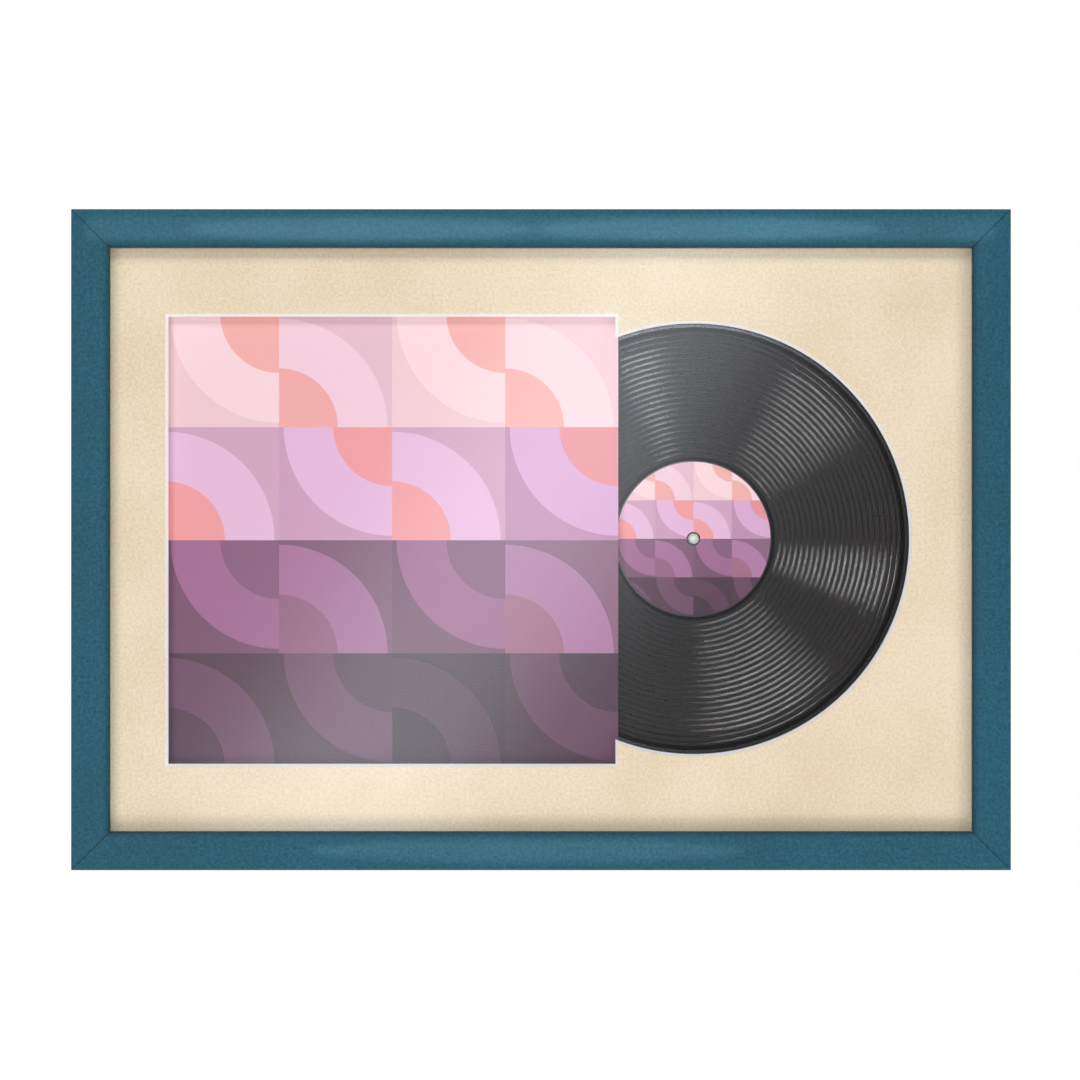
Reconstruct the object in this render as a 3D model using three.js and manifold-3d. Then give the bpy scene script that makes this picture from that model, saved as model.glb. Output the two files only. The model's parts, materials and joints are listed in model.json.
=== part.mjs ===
// A landscape picture frame that shows a long-playing record beside its sleeve.
// Four mitred rails hold a clear sheet, a window mat with one joined opening that a spacer
// holds off, the sleeve on its carrier, the record behind it, a mount board and a backing
// board that turn buttons keep in.
// It hangs on two D-rings. Millimetres, +X to the viewer's right, +Z up, the front faces -Y.
// The origin is the middle of the top rail's back face, which lies towards the wall.
import * as THREE from 'three';
import { mergeVertices } from 'three/addons/utils/BufferGeometryUtils.js';
import Module from 'manifold-3d';

const wasm = await Module();
wasm.setup();

// Clearances
const fitGap = 0.3; // between pieces that seat on each other
const boardPlay = 0.6; // round the boards in the rebate, and round what lies in a spacer
const cutOverrun = 4; // how far a cutter runs past a face

// Record
const recordDiameter = 301.6;
const recordThickness = 1.9;
const spindleDiameter = 7.24;
const labelDiameter = 107.2;
const labelHoleDiameter = 9.7;
const labelThickness = 0.2;
const glueGap = 0.05; // between a label and the vinyl under it
const labelRimWidth = 0.8; // raised ring of vinyl round the label
const moatWidth = 1.4; // sunk ring round that
const deadWaxWidth = 3.5; // smooth ring inside the innermost groove
const beadWidth = 4.3; // thick edge of the record
const leadInWidth = 2.8; // sunk ring inside the bead
const leadInMargin = 2.8; // from the outermost groove ring to the lead-in
const edgeRounding = 0.5;
const bandDrop = 0.2; // grooved band below the bead
const ringDepth = 0.12; // groove ring below the band
const ringWall = 0.6; // width of the steep side of a groove ring
const ringCount = 22;

// Sleeve
const sleeveSize = 314.5;
const sleeveCard = 0.4;
const sleeveMouth = 0.4; // room between its two cards
const recordShift = 209.7; // from the middle of the sleeve to the middle of the record
const recordLift = 1;

// Window mat
const matThickness = 2;
const matBevelAngle = 45;
const matOverSleeve = 2; // how far the mat covers the sleeve's edges
const matOverRecord = 1.3;
const marginLeft = 40;
const marginRight = 43.1;
const marginTop = 47.4;
const marginBottom = 46.6;

// Other sheets
const glazingThickness = 2;
const matSpacerThickness = 5; // holds the mat off the sleeve, so that it throws a shadow
const carrierThickness = 3; // under the sleeve, which it holds clear of the record
const spacerSetback = 1; // of the spacers' edges behind the mat's opening
const carrierSetback = 3; // of the carrier's edge under the sleeve's edge
const mountBoardThickness = 2;
const backingThickness = 3;

// Rails
const railWidth = 26.7;
const rebateWidth = 6;
const lipDepth = 8; // wood in front of the glazing
const lipRounding = 3.2; // inner edge of the face
const edgeSoftening = 1; // outer edge of the face
const mitreGap = 0.25;

// Corner nails, pressed into the back across each mitre
const nailLeg = 5;
const nailHeight = 9;
const nailSheet = 0.6;
const nailPlaceShares = [0.34, 0.74]; // of the rail's back land, from the outer corner

// Screws
const shankRadius = 1.6;
const shankLength = 11;
const screwTip = 2;
const headRadius = 3.2;
const headEdge = 0.7; // straight side of the head
const headDome = 1.2; // rise of the dome above that

// Turn buttons
const buttonSheet = 1.2;
const buttonRadius = 5.5; // round the screw
const buttonTipRadius = 3.6;
const buttonLap = 13; // reach over the backing board
const longRailInset = 150; // from the frame's side to the nearest turn button
const shortRailInset = 85; // from the frame's top or bottom

// D-ring hangers
const strapSheet = 1;
const strapWidth = 11;
const strapFold = 6; // below the ring's bar, where the two layers meet
const strapScrewClearance = 1;
const strapScrewPitch = 11;
const hangerClearance = 20; // from a raised ring to the turn button above, turned down
const wireRadius = 1.2;
const ringDrop = 17; // from the bar to the middle of the bow
const ringSidePlay = 0.9; // from the strap's side to the start of a ring corner
const ringCorner = 3;
const ringSeam = 0.4; // where the bent wire's ends meet, inside the strap

// Wall bumpers: they stand out further than the heads of the turn buttons' screws
const bumperRadius = 5.5;
const bumperHeight = 4.2;
const bumperRounding = 1.6; // round the flat back that meets the wall
const bumperInset = 34; // from the frame's side

// Facets
const recordFacets = 48;
const holeFacets = 12;
const screwFacets = 10;
const windowFacets = 84;
const squareFacets = 4;
const arcSteps = 3;
const buttonSteps = 5;
const ringSteps = 32;
const ringSides = 8;

// Openings, measured at the back of the mat where the bevel ends
const recordRadius = recordDiameter / 2;
const windowSide = sleeveSize - 2 * matOverSleeve;
const windowRadius = recordRadius - matOverRecord;
const spacerSide = windowSide + 2 * spacerSetback;
const spacerRadius = windowRadius + spacerSetback;
const windowLeft = Math.min(-windowSide / 2, recordShift - windowRadius);
const windowRight = Math.max(windowSide / 2, recordShift + windowRadius);
const windowTop = Math.max(windowSide / 2, recordLift + windowRadius);
const windowBottom = Math.min(-windowSide / 2, recordLift - windowRadius);

// Sight opening, boards and outer size
const sightWidth = marginLeft + windowRight - windowLeft + marginRight;
const sightHeight = marginTop + windowTop - windowBottom + marginBottom;
const boardWidth = sightWidth + 2 * (rebateWidth - boardPlay);
const boardHeight = sightHeight + 2 * (rebateWidth - boardPlay);
const frameWidth = sightWidth + 2 * railWidth;
const frameHeight = sightHeight + 2 * railWidth;
const landWidth = railWidth - rebateWidth; // flat back of a rail

// Middles of the sleeve and of the record, from the middle of the frame
const sleeveX = -sightWidth / 2 + marginLeft - windowLeft;
const sleeveZ = -sightHeight / 2 + marginBottom - windowBottom;
const recordX = sleeveX + recordShift;
const recordZ = sleeveZ + recordLift;

// Layers from the lip to the back of the rails, each a gap behind the last
const sleeveThickness = 2 * sleeveCard + sleeveMouth;
const layers = [
  glazingThickness,
  matThickness,
  matSpacerThickness,
  sleeveThickness,
  carrierThickness,
  recordThickness,
  mountBoardThickness,
  backingThickness,
];
const frameDepth = layers.reduce((depth, layer) => depth + fitGap + layer, lipDepth);
const fronts = [];
let layerFront = -frameDepth + lipDepth + fitGap;
for (const layer of layers) {
  fronts.push(layerFront);
  layerFront += layer + fitGap;
}
const [glazingFront, matFront, matSpacerFront, sleeveFront, ...backFronts] = fronts;
const [carrierFront, recordFront, mountFront, backingFront] = backFronts;

// Hardware places on the back
const buttonReach = landWidth / 2 + buttonLap - buttonTipRadius;
const strapTop = 2 * strapSheet;
const eyeRadius = wireRadius + fitGap;
const eyeOuter = eyeRadius + strapSheet;
const eyeY = fitGap + eyeOuter;
const ringTilt = Math.asin((fitGap + strapTop + fitGap + wireRadius - eyeY) / ringDrop);
const buttonSweep = buttonReach + buttonTipRadius;
const eyeZ = frameHeight / 2 - shortRailInset - buttonSweep - hangerClearance - ringDrop - wireRadius;
const strapScrewDrop = ringDrop + wireRadius + headRadius + strapScrewClearance;
const strapScrewHeights = [eyeZ - strapScrewDrop, eyeZ - strapScrewDrop - strapScrewPitch];
const strapLength = strapScrewDrop + strapScrewPitch + strapWidth / 2;

const finishes = {
  tealPaint: { color: '#37697d', roughness: 0.5, metalness: 0 },
  clearAcrylic: { color: '#eef3f3', roughness: 0.05, metalness: 0, transparent: true, opacity: 0.12 },
  creamMat: { color: '#e9dac3', roughness: 0.9, metalness: 0 },
  whiteBoard: { color: '#f2efe8', roughness: 0.9, metalness: 0 },
  foamBoard: { color: '#e6e4de', roughness: 0.95, metalness: 0 },
  printedCard: { color: '#e3a7b4', roughness: 0.6, metalness: 0 },
  vinyl: { color: '#1c1c1d', roughness: 0.3, metalness: 0 },
  labelPaper: { color: '#d98ba5', roughness: 0.8, metalness: 0 },
  fibreBoard: { color: '#8d6f4e', roughness: 0.85, metalness: 0 },
  zincSteel: { color: '#b9bcbe', roughness: 0.38, metalness: 0.9 },
  darkRubber: { color: '#26272a', roughness: 0.85, metalness: 0 },
};

function piece(name, geometry, finish) {
  geometry.computeVertexNormals();
  const mesh = new THREE.Mesh(geometry, new THREE.MeshStandardMaterial(finish));
  mesh.name = name;
  return mesh;
}

// Solids for cutting and joining
function solid(geometry) {
  const bare = geometry.clone();
  bare.deleteAttribute('normal');
  bare.deleteAttribute('uv');
  const welded = mergeVertices(bare);
  const vertProperties = new Float32Array(welded.attributes.position.array);
  const triVerts = new Uint32Array(welded.index.array);
  return new wasm.Manifold(new wasm.Mesh({ numProp: 3, vertProperties, triVerts }));
}

function geometryOf(body) {
  const { vertProperties, triVerts } = body.getMesh();
  const geometry = new THREE.BufferGeometry();
  geometry.setAttribute('position', new THREE.BufferAttribute(vertProperties, 3));
  geometry.setIndex(new THREE.BufferAttribute(triVerts, 1));
  return geometry.toNonIndexed();
}

function cut(geometry, cutters) {
  const rest = cutters.reduce((body, cutter) => body.subtract(solid(cutter)), solid(geometry));
  return geometryOf(rest);
}

// An outline in X and Z, made into a plate whose front lies at Y zero
function plate(outline, thickness, curveSegments) {
  const geometry = new THREE.ExtrudeGeometry(outline, {
    depth: thickness,
    bevelEnabled: false,
    curveSegments,
  });
  return geometry.rotateX(Math.PI / 2).translate(0, thickness, 0);
}

// A hole along Y from behind the back face at Y zero to a depth in front of it
function backHole(radius, depth) {
  const length = depth + cutOverrun;
  return new THREE.CylinderGeometry(radius, radius, length, holeFacets)
    .translate(0, cutOverrun - length / 2, 0);
}

// Corner nail: two legs in an L on the mitre's line, drawn for the corner at +X and +Z
function nailOutline(grow) {
  const outer = nailSheet / 2 + grow;
  const tip = -nailLeg - grow;
  const outline = new THREE.Shape();
  outline.moveTo(outer, outer);
  outline.lineTo(tip, outer);
  outline.lineTo(tip, -outer);
  outline.lineTo(-outer, -outer);
  outline.lineTo(-outer, tip);
  outline.lineTo(outer, tip);
  outline.closePath();
  return outline;
}

function nailGeometry() {
  return plate(nailOutline(0), nailHeight).translate(0, -fitGap - nailHeight, 0);
}

function nailSlot() {
  const depth = nailHeight + 2 * fitGap;
  return plate(nailOutline(fitGap), depth + cutOverrun).translate(0, -depth, 0);
}

// Rail across its width: back land, rebate, rounded lip, flat face, softened outer edge
function railProfile() {
  const front = -frameDepth;
  const profile = new THREE.Shape();
  profile.moveTo(0, 0);
  profile.lineTo(landWidth, 0);
  profile.lineTo(landWidth, front + lipDepth);
  profile.lineTo(railWidth, front + lipDepth);
  profile.lineTo(railWidth, front + lipRounding);
  profile.absarc(railWidth - lipRounding, front + lipRounding, lipRounding, 0, -Math.PI / 2, true);
  profile.lineTo(edgeSoftening, front);
  profile.absarc(edgeSoftening, front + edgeSoftening, edgeSoftening, -Math.PI / 2, -Math.PI, true);
  profile.closePath();
  return profile;
}

// A rail runs along X with its outer side at Z zero. Each end follows the mitre: a point
// further from the outer side ends that much sooner.
function railGeometry(length, pilotPlaces) {
  const bar = new THREE.ExtrudeGeometry(railProfile(), {
    depth: length,
    bevelEnabled: false,
    curveSegments: arcSteps,
  });
  const points = bar.attributes.position;
  const reach = length / 2 - mitreGap / Math.SQRT2;
  for (let i = 0; i < points.count; i += 1) {
    const side = Math.sign(points.getZ(i) - length / 2);
    points.setZ(i, side * (reach - points.getX(i)));
  }
  bar.rotateY(Math.PI / 2);

  const cutters = pilotPlaces.map((x) => backHole(shankRadius + fitGap, shankLength + fitGap)
    .translate(x, 0, -landWidth / 2));
  for (const share of nailPlaceShares) {
    const inset = share * landWidth;
    cutters.push(nailSlot().translate(length / 2 - inset, 0, -inset));
    cutters.push(nailSlot().rotateY(-Math.PI / 2).translate(inset - length / 2, 0, -inset));
  }
  return cut(bar, cutters);
}

// Screw along Y: tip, shank, flat under the head at Y zero, straight edge and dome
function screwGeometry() {
  const profile = [
    new THREE.Vector2(0, -shankLength),
    new THREE.Vector2(shankRadius, screwTip - shankLength),
    new THREE.Vector2(shankRadius, 0),
    new THREE.Vector2(headRadius, 0),
  ];
  for (let step = 0; step <= arcSteps; step += 1) {
    const turn = (step / arcSteps) * (Math.PI / 2);
    const radius = step === arcSteps ? 0 : headRadius * Math.cos(turn);
    profile.push(new THREE.Vector2(radius, headEdge + headDome * Math.sin(turn)));
  }
  return new THREE.LatheGeometry(profile, screwFacets);
}

// Turn button: two rounds joined by tangents, a hole round the screw, the tip towards -Z
function buttonGeometry() {
  const lean = Math.asin((buttonRadius - buttonTipRadius) / buttonReach);
  const outline = new THREE.Shape();
  outline.absarc(0, -buttonReach, buttonTipRadius, -lean, lean - Math.PI, true);
  outline.absarc(0, 0, buttonRadius, lean - Math.PI, -lean, true);
  const hole = new THREE.Path();
  hole.absarc(0, 0, shankRadius + fitGap, 0, 2 * Math.PI, false);
  outline.holes.push(hole);
  return plate(outline, buttonSheet, buttonSteps);
}

// Side view of the strap, X away from the rail and Y up: a flat layer, the eye round the
// ring's bar at the origin's height, and the second layer folded back onto the first
function strapSideView() {
  const meetX = strapTop - eyeOuter;
  const meetReach = Math.hypot(meetX, strapFold);
  const turn = Math.atan2(-strapFold, meetX) + Math.acos(eyeOuter / meetReach);
  const side = new THREE.Shape();
  side.absarc(eyeOuter, 0, eyeOuter, Math.PI, turn, true);
  side.lineTo(strapTop, -strapFold);
  side.lineTo(strapTop, -strapLength);
  side.lineTo(0, -strapLength);
  side.closePath();

  const innerX = eyeOuter + eyeRadius * Math.cos(turn);
  const innerY = eyeRadius * Math.sin(turn);
  const slide = (innerX - strapSheet) / -Math.sin(turn);
  const eye = new THREE.Path();
  eye.absarc(eyeOuter, 0, eyeRadius, turn, Math.PI, false);
  eye.lineTo(strapSheet, innerY - slide * Math.cos(turn));
  eye.closePath();
  side.holes.push(eye);
  return side;
}

function strapGeometry() {
  const strip = new THREE.ExtrudeGeometry(strapSideView(), {
    depth: strapWidth,
    bevelEnabled: false,
    curveSegments: arcSteps,
  });
  strip.rotateY(Math.PI / 2).rotateX(Math.PI / 2).translate(-strapWidth / 2, 0, 0);

  const roundEnd = new THREE.Shape();
  const endZ = strapWidth / 2 - strapLength;
  roundEnd.absarc(0, endZ, strapWidth / 2, Math.PI, 2 * Math.PI, false);
  roundEnd.lineTo(strapWidth / 2, eyeOuter + cutOverrun);
  roundEnd.lineTo(-strapWidth / 2, eyeOuter + cutOverrun);
  roundEnd.closePath();
  const plan = plate(roundEnd, 2 * eyeOuter + 2 * cutOverrun, arcSteps).translate(0, -cutOverrun, 0);

  const strap = geometryOf(solid(strip).intersect(solid(plan)));
  const holes = [strapScrewDrop, strapScrewDrop + strapScrewPitch].map((drop) => (
    backHole(shankRadius + fitGap, cutOverrun).translate(0, strapTop, -drop)
  ));
  return cut(strap, holes);
}

// A curve drawn in X and Y, laid in X and Z
class FlatRoute extends THREE.Curve {
  constructor(drawing) {
    super();
    this.drawing = drawing;
  }

  getPoint(t, target = new THREE.Vector3()) {
    const point = this.drawing.getPoint(t);
    return target.set(point.x, 0, point.y);
  }
}

// D-ring: wire bent from the middle of its bar, round the corners and the bow, hanging to -Z
function ringGeometry() {
  const bar = strapWidth / 2 + ringSidePlay;
  const drawing = new THREE.Path();
  drawing.moveTo(ringSeam / 2, 0);
  drawing.lineTo(bar, 0);
  drawing.absarc(bar, -ringCorner, ringCorner, Math.PI / 2, 0, true);
  drawing.absellipse(0, -ringCorner, bar + ringCorner, ringDrop - ringCorner, 0, -Math.PI, true);
  drawing.absarc(-bar, -ringCorner, ringCorner, Math.PI, Math.PI / 2, true);
  drawing.lineTo(-ringSeam / 2, 0);

  const section = new THREE.Shape();
  for (let side = 0; side < ringSides; side += 1) {
    const turn = (side / ringSides) * 2 * Math.PI;
    const corner = new THREE.Vector2(Math.cos(turn), Math.sin(turn)).multiplyScalar(wireRadius);
    if (side === 0) section.moveTo(corner.x, corner.y);
    else section.lineTo(corner.x, corner.y);
  }
  section.closePath();
  return new THREE.ExtrudeGeometry(section, {
    steps: ringSteps,
    bevelEnabled: false,
    extrudePath: new FlatRoute(drawing),
  });
}

// Low round pad with a rounded edge and a flat back
function bumperGeometry() {
  const flatRadius = bumperRadius - bumperRounding;
  const straight = bumperHeight - bumperRounding;
  const profile = [new THREE.Vector2(0, 0), new THREE.Vector2(bumperRadius, 0)];
  for (let step = 0; step <= arcSteps; step += 1) {
    const turn = (step / arcSteps) * (Math.PI / 2);
    profile.push(new THREE.Vector2(
      flatRadius + bumperRounding * Math.cos(turn),
      straight + bumperRounding * Math.sin(turn),
    ));
  }
  profile.push(new THREE.Vector2(0, bumperHeight));
  return new THREE.LatheGeometry(profile, holeFacets);
}

function board(width, height, thickness, front) {
  return new THREE.BoxGeometry(width, thickness, height).translate(0, front + thickness / 2, 0);
}

// A cutter with straight or sloping sides along Y, wider to the front by its bevel. Its size
// is the opening's at the back of a sheet, and its sides run on past both faces.
function windowCutter(radius, facets, thickness, slope, front) {
  const back = radius - cutOverrun * slope;
  const wide = radius + (thickness + cutOverrun) * slope;
  return new THREE.CylinderGeometry(back, wide, thickness + 2 * cutOverrun, facets)
    .translate(0, front + thickness / 2, 0);
}

// A square cutter is a frustum of four sides: its corners lie the square root of two further out
function squareCutter(side, thickness, slope, front) {
  return windowCutter(side / Math.SQRT2, squareFacets, thickness, slope * Math.SQRT2, front)
    .rotateY(Math.PI / 4);
}

// Sheet with a square opening for the sleeve joined to a round one for the record
function joinedWindow(thickness, front, side, radius, slope) {
  const square = squareCutter(side, thickness, slope, front).translate(sleeveX, 0, sleeveZ);
  const round = windowCutter(radius, windowFacets, thickness, slope, front)
    .translate(recordX, 0, recordZ);
  return cut(board(boardWidth, boardHeight, thickness, front), [square, round]);
}

// Board under the sleeve. Its window shows the record up to a line just under the sleeve's edge.
function carrierGeometry() {
  const round = windowCutter(spacerRadius, windowFacets, carrierThickness, 0, carrierFront)
    .translate(recordX, 0, recordZ);
  const deep = carrierThickness + 2 * cutOverrun;
  const underSleeve = board(boardWidth, boardHeight, deep, carrierFront - cutOverrun)
    .translate(sleeveX + sleeveSize / 2 - carrierSetback - boardWidth / 2, 0, 0);
  const whole = board(boardWidth, boardHeight, carrierThickness, carrierFront);
  return cut(whole, [cut(round, [underSleeve])]);
}

function recordSpacerGeometry() {
  const round = windowCutter(recordRadius + boardPlay, windowFacets, recordThickness, 0, recordFront)
    .translate(recordX, 0, recordZ);
  return cut(board(boardWidth, boardHeight, recordThickness, recordFront), [round]);
}

// Jacket of two cards joined on three sides, its mouth open towards the record
function sleeveGeometry() {
  const jacket = board(sleeveSize, sleeveSize, sleeveThickness, sleeveFront);
  const roomWidth = sleeveSize - sleeveCard + cutOverrun;
  const roomHeight = sleeveSize - 2 * sleeveCard;
  const room = board(roomWidth, roomHeight, sleeveMouth, sleeveFront + sleeveCard)
    .translate((cutOverrun + sleeveCard) / 2, 0, 0);
  return cut(jacket, [room]).translate(sleeveX, 0, sleeveZ);
}

// Half section of the record from its hole outwards: radius and half the thickness there.
// Both faces have the label's seat, the rim and moat round it, the band, lead-in and bead.
function recordFace(withRings) {
  const half = recordThickness / 2;
  const seat = half - glueGap - labelThickness;
  const band = half - bandDrop;
  const valley = band - ringDepth;
  const seatRadius = labelDiameter / 2 + fitGap;
  const moatInner = seatRadius + labelRimWidth;
  const moatOuter = moatInner + moatWidth;
  const beadInner = recordRadius - beadWidth;
  const leadInInner = beadInner - leadInWidth;
  const face = [
    [spindleDiameter / 2, seat],
    [seatRadius, seat],
    [seatRadius, half],
    [moatInner, half],
    [moatInner, valley],
    [moatOuter, valley],
    [moatOuter, band],
  ];
  if (withRings) {
    const firstRing = moatOuter + deadWaxWidth;
    const lastRing = leadInInner - leadInMargin;
    for (let ring = 0; ring < ringCount; ring += 1) {
      const radius = THREE.MathUtils.lerp(firstRing, lastRing, ring / (ringCount - 1));
      face.push([radius, band], [radius + ringWall, valley]);
    }
  }
  face.push(
    [leadInInner, band],
    [leadInInner, valley],
    [beadInner, valley],
    [beadInner, half],
    [recordRadius - edgeRounding, half],
    [recordRadius, half - edgeRounding],
  );
  return face;
}

function recordGeometry() {
  const front = recordFace(true).map(([radius, half]) => new THREE.Vector2(radius, -half));
  const back = recordFace(false).map(([radius, half]) => new THREE.Vector2(radius, half));
  return new THREE.LatheGeometry([...front, ...back.reverse(), front[0]], recordFacets);
}

function labelGeometry() {
  const inner = labelHoleDiameter / 2;
  const outer = labelDiameter / 2;
  const profile = [
    new THREE.Vector2(inner, 0),
    new THREE.Vector2(outer, 0),
    new THREE.Vector2(outer, labelThickness),
    new THREE.Vector2(inner, labelThickness),
    new THREE.Vector2(inner, 0),
  ];
  return new THREE.LatheGeometry(profile, recordFacets);
}

// Sheets, sleeve and record
function pack() {
  const group = new THREE.Group();
  const sleeveRoom = sleeveSize + 2 * boardPlay;
  const slope = Math.tan(THREE.MathUtils.degToRad(matBevelAngle));
  const glazing = board(boardWidth, boardHeight, glazingThickness, glazingFront);
  const mat = joinedWindow(matThickness, matFront, windowSide, windowRadius, slope);
  const matSpacer = joinedWindow(matSpacerThickness, matSpacerFront, spacerSide, spacerRadius, 0);
  const sleeveSpacer = joinedWindow(sleeveThickness, sleeveFront, sleeveRoom, spacerRadius, 0);
  const mountBoard = board(boardWidth, boardHeight, mountBoardThickness, mountFront);
  const backing = board(boardWidth, boardHeight, backingThickness, backingFront);
  group.add(
    piece('glazing_sheet', glazing, finishes.clearAcrylic),
    piece('window_mat', mat, finishes.creamMat),
    piece('mat_spacer', matSpacer, finishes.foamBoard),
    piece('sleeve_spacer', sleeveSpacer, finishes.foamBoard),
    piece('record_sleeve', sleeveGeometry(), finishes.printedCard),
    piece('sleeve_carrier', carrierGeometry(), finishes.foamBoard),
    piece('record_spacer', recordSpacerGeometry(), finishes.foamBoard),
    piece('mount_board', mountBoard, finishes.whiteBoard),
    piece('backing_board', backing, finishes.fibreBoard),
  );

  const disc = new THREE.Group();
  disc.position.set(recordX, recordFront + recordThickness / 2, recordZ);
  const frontLabel = piece('front_label', labelGeometry(), finishes.labelPaper);
  frontLabel.position.y = -recordThickness / 2;
  const backLabel = piece('back_label', labelGeometry(), finishes.labelPaper);
  backLabel.position.y = recordThickness / 2 - labelThickness;
  disc.add(piece('vinyl_record', recordGeometry(), finishes.vinyl), frontLabel, backLabel);
  group.add(disc);
  return group;
}

// A rail with its turn buttons, in a group whose +Z points out of the frame. It is bored for
// their screws and for those of a hanger.
function railAssembly(side, turn, length, distance, buttonInset, buttonNames, hangerPlaces = []) {
  const group = new THREE.Group();
  group.rotation.y = turn;
  group.position.set(Math.sin(turn), 0, Math.cos(turn)).multiplyScalar(distance);
  const inset = length / 2 - buttonInset;
  const places = [-inset, inset];
  const rail = railGeometry(length, [...places, ...hangerPlaces]);
  group.add(piece(`${side}_rail`, rail, finishes.tealPaint));
  places.forEach((x, i) => {
    const button = piece(`turn_button_${side}_${buttonNames[i]}`, buttonGeometry(), finishes.zincSteel);
    button.position.set(x, fitGap, -landWidth / 2);
    const screw = piece(`button_screw_${side}_${buttonNames[i]}`, screwGeometry(), finishes.zincSteel);
    screw.position.set(x, 2 * fitGap + buttonSheet, -landWidth / 2);
    group.add(button, screw);
  });
  return group;
}

function rails() {
  const quarter = Math.PI / 2;
  const sides = [
    ['top', 0, frameWidth, frameHeight / 2, longRailInset, ['left', 'right']],
    ['right', quarter, frameHeight, frameWidth / 2, shortRailInset, ['upper', 'lower'],
      strapScrewHeights.map((height) => -height)],
    ['bottom', 2 * quarter, frameWidth, frameHeight / 2, longRailInset, ['right', 'left']],
    ['left', -quarter, frameHeight, frameWidth / 2, shortRailInset, ['lower', 'upper'],
      strapScrewHeights],
  ];
  const group = new THREE.Group();
  sides.forEach((side) => group.add(railAssembly(...side)));
  return group;
}

function cornerNails() {
  const corners = ['top_right', 'bottom_right', 'bottom_left', 'top_left'];
  const group = new THREE.Group();
  corners.forEach((corner, i) => {
    const turn = i * Math.PI / 2;
    const right = i < 2 ? 1 : -1;
    const up = corner.startsWith('top') ? 1 : -1;
    nailPlaceShares.forEach((share, n) => {
      const nail = piece(`corner_nail_${corner}_${n + 1}`, nailGeometry(), finishes.zincSteel);
      const inset = share * landWidth;
      nail.rotation.y = turn;
      nail.position.set(right * (frameWidth / 2 - inset), 0, up * (frameHeight / 2 - inset));
      group.add(nail);
    });
  });
  return group;
}

// Strap, ring and screws on a side rail, in a group at the middle of the ring's bar
function hanger(side, direction) {
  const group = new THREE.Group();
  group.position.set(direction * (frameWidth - landWidth) / 2, eyeY, eyeZ);
  const strap = piece(`hanger_strap_${side}`, strapGeometry(), finishes.zincSteel);
  strap.position.y = -eyeOuter;
  const ring = piece(`hanger_ring_${side}`, ringGeometry(), finishes.zincSteel);
  ring.rotation.x = ringTilt;
  group.add(strap, ring);
  ['upper', 'lower'].forEach((name, i) => {
    const screw = piece(`hanger_screw_${side}_${name}`, screwGeometry(), finishes.zincSteel);
    screw.position.set(0, strapTop + fitGap - eyeOuter, -strapScrewDrop - i * strapScrewPitch);
    group.add(screw);
  });
  return group;
}

function bumper(side, direction) {
  const mesh = piece(`wall_bumper_${side}`, bumperGeometry(), finishes.darkRubber);
  mesh.position.x = direction * (frameWidth / 2 - bumperInset);
  mesh.position.y = fitGap;
  mesh.position.z = (landWidth - frameHeight) / 2;
  return mesh;
}

const frame = new THREE.Group();
frame.position.z = (landWidth - frameHeight) / 2;
frame.add(rails(), cornerNails(), pack());
frame.add(hanger('left', -1), hanger('right', 1));
frame.add(bumper('left', -1), bumper('right', 1));

const group = new THREE.Group();
group.add(frame);

export default group;
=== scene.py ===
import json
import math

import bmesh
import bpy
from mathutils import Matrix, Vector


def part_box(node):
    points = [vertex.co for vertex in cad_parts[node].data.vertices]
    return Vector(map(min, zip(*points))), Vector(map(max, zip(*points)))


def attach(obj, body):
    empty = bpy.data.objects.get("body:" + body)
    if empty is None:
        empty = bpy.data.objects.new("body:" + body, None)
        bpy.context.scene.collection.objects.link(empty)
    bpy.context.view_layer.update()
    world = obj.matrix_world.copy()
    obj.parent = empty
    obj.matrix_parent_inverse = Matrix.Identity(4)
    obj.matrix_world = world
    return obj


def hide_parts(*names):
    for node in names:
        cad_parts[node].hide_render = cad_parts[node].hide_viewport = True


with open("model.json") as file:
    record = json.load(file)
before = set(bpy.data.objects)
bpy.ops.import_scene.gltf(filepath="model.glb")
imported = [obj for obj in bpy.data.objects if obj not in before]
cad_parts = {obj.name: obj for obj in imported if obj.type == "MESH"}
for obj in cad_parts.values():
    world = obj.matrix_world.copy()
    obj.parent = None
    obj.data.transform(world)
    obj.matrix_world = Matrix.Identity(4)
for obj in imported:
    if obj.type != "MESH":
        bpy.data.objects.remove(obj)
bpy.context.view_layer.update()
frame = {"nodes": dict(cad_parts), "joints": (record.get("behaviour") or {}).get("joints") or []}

# %% [markdown]
# # A picture frame for a record and its sleeve
#
# This lesson dresses a wall frame that shows a long-playing record beside its sleeve. The solids
# that come with it have the right size and place, and they stay underneath. On top of them the
# rails, the window mat, the record, the sleeve and the hardware at the back are modelled again
# with more detail, and every surface gets a finish of its own.
#
# Everything is in metres. X runs to the viewer's right, Y runs out of the back towards the wall
# and Z runs up. The front looks towards minus Y, and the origin is the middle of the top rail's
# back.

MM = 0.001

# %% [markdown]
# ## The sizes that the pieces share
#
# A piece made here stands for a solid, so it takes its place from that solid's box and its own
# details from the sizes below. Measuring the box is safer than typing the place again: when the
# solid changes, the dressed piece follows it.

# %% Sizes of the frame
top_low, top_high = (Vector(corner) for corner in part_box("top_rail"))
left_low, left_high = (Vector(corner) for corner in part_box("left_rail"))
bottom_low = Vector(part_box("bottom_rail")[0])
solid_saw_gap = 0.25 * MM
sawn_off = solid_saw_gap * math.sqrt(2)
frame_width = top_high.x - top_low.x + sawn_off
frame_height = left_high.z - left_low.z + sawn_off
frame_depth = top_high.y - top_low.y
rail_width = 26.7 * MM
middle = Vector((0, 0, (top_high.z + bottom_low.z) / 2))
print(f"the frame is {frame_width / MM:.1f} by {frame_height / MM:.1f} mm, {frame_depth / MM:.1f} deep")

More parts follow.
